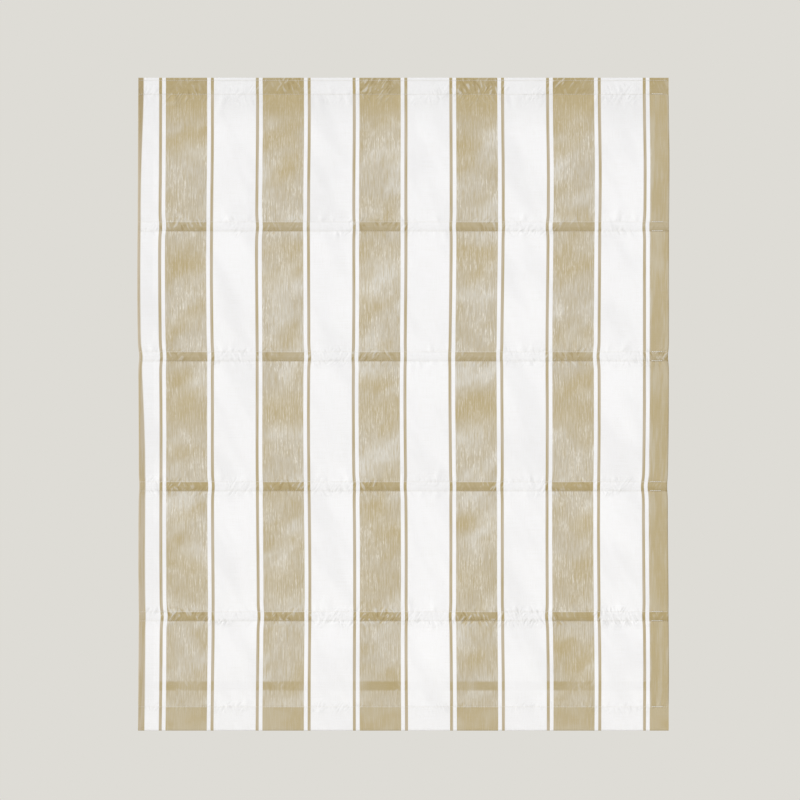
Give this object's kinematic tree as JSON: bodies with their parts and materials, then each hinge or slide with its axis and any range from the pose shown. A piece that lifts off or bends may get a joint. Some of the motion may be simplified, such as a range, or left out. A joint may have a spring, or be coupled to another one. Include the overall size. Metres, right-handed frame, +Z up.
{
  "type": "roman blind",
  "caption": "Flat roman blind of striped cloth with rod pockets and a weighted hem, hung from a cordless spring-balanced head rail that lifts and gathers it.",
  "frame": {"origin": "centre of the four bracket fixing holes, on the plane of the brackets' top faces where they meet the ceiling", "axes": "+Z up towards the ceiling, the cloth's front faces -Y, X across the blind's width"},
  "size_m": [0.99, 0.068, 1.2215],
  "materials": {
    "striped_cloth": "cream-white faux silk with woven tan stripes, soft satin sheen",
    "sewing_tape": "plain white woven tape",
    "hook_tape": "white hook-and-loop tape, hook side",
    "loop_tape": "white hook-and-loop tape, loop side",
    "lift_cord": "braided white cord",
    "rail_paint": "white powder-coated extrusion",
    "cap_plastic": "white moulded plastic",
    "bracket_steel": "zinc-plated pressed steel",
    "pin_steel": "turned steel rivet",
    "latch_plastic": "white moulded plastic",
    "shaft_steel": "bright drawn square bar",
    "spring_steel": "blued spring steel",
    "bar_aluminium": "mill-finish flat bar",
    "glass_fibre": "pultruded glass-fibre rod",
    "end_plastic": "white moulded plastic",
    "ring_plastic": "clear-white moulded plastic",
    "works_plastic": "natural white acetal"
  },
  "bodies": {
    "head_rail": {"head_rail": "rail_paint", "end_cap_left": "cap_plastic", "end_cap_right": "cap_plastic", "hook_tape": "hook_tape", "loop_tape": "loop_tape", "bracket_left": "bracket_steel", "bracket_right": "bracket_steel", "latch_pin_left": "pin_steel", "latch_pin_right": "pin_steel", "cradle_left": "works_plastic", "cradle_centre": "works_plastic", "cradle_right": "works_plastic", "motor_plate_left": "works_plastic", "motor_plate_right": "works_plastic", "spring_tape": "spring_steel", "face_cloth": "striped_cloth", "lift_cord_left": "lift_cord", "lift_cord_centre": "lift_cord", "lift_cord_right": "lift_cord"},
    "latch_left": {"latch_left": "latch_plastic"},
    "latch_right": {"latch_right": "latch_plastic"},
    "lift_shaft": {"lift_shaft": "shaft_steel", "shaft_bush_left": "works_plastic", "shaft_bush_right": "works_plastic", "spool_left": "works_plastic", "spool_centre": "works_plastic", "spool_right": "works_plastic", "output_drum": "works_plastic"},
    "storage_drum": {"storage_drum": "works_plastic"},
    "bottom_bar": {"bottom_bar": "bar_aluminium", "bar_caps": "end_plastic", "anchor_tape": "sewing_tape", "cord_anchors": "ring_plastic"},
    "rod_1": {"rod_1": "glass_fibre", "rod_caps_1": "end_plastic", "pocket_tape_1": "sewing_tape", "cord_rings_1": "ring_plastic"},
    "rod_2": {"rod_2": "glass_fibre", "rod_caps_2": "end_plastic", "pocket_tape_2": "sewing_tape", "cord_rings_2": "ring_plastic"},
    "rod_3": {"rod_3": "glass_fibre", "rod_caps_3": "end_plastic", "pocket_tape_3": "sewing_tape", "cord_rings_3": "ring_plastic"},
    "rod_4": {"rod_4": "glass_fibre", "rod_caps_4": "end_plastic", "pocket_tape_4": "sewing_tape", "cord_rings_4": "ring_plastic"}
  },
  "joints": [
    {"name": "lift", "type": "slide", "parent": "head_rail", "child": "bottom_bar", "axis": [0, 0, 1], "range_m": [0, 0.86], "deforming": ["face_cloth", "lift_cord_left", "lift_cord_centre", "lift_cord_right", "spring_tape"]},
    {"name": "rod_1_rise", "type": "slide", "parent": "head_rail", "child": "rod_1", "axis": [0, 0, 1], "range_m": [0, 0.1759]},
    {"name": "rod_2_rise", "type": "slide", "parent": "head_rail", "child": "rod_2", "axis": [0, 0, 1], "range_m": [0, 0.3697]},
    {"name": "rod_3_rise", "type": "slide", "parent": "head_rail", "child": "rod_3", "axis": [0, 0, 1], "range_m": [0, 0.5635]},
    {"name": "rod_4_rise", "type": "slide", "parent": "head_rail", "child": "rod_4", "axis": [0, 0, 1], "range_m": [0, 0.7575]},
    {"name": "shaft_turn", "type": "hinge", "parent": "head_rail", "child": "lift_shaft", "pos_m": [0, -0.00695, -0.0252], "axis": [-1, 0, 0], "range_deg": [0, 4542]},
    {"name": "storage_turn", "type": "hinge", "parent": "head_rail", "child": "storage_drum", "pos_m": [0.165, 0.0111, -0.0252], "axis": [1, 0, 0], "range_deg": [0, 4542]},
    {"name": "latch_left_turn", "type": "hinge", "parent": "head_rail", "child": "latch_left", "pos_m": [-0.338, 0.006, -0.005], "axis": [0, 0, 1], "range_deg": [0, 80]},
    {"name": "latch_right_turn", "type": "hinge", "parent": "head_rail", "child": "latch_right", "pos_m": [0.338, 0.006, -0.005], "axis": [0, 0, -1], "range_deg": [0, 80]}
  ],
  "couplings": [
    {"joint": "rod_1_rise", "follows": "lift", "ratio": 0.2039},
    {"joint": "rod_2_rise", "follows": "lift", "ratio": 0.4293},
    {"joint": "rod_3_rise", "follows": "lift", "ratio": 0.6547},
    {"joint": "rod_4_rise", "follows": "lift", "ratio": 0.8802},
    {"joint": "shaft_turn", "follows": "lift", "rad_per_m": 92.166},
    {"joint": "storage_turn", "follows": "lift", "rad_per_m": 92.166}
  ]
}
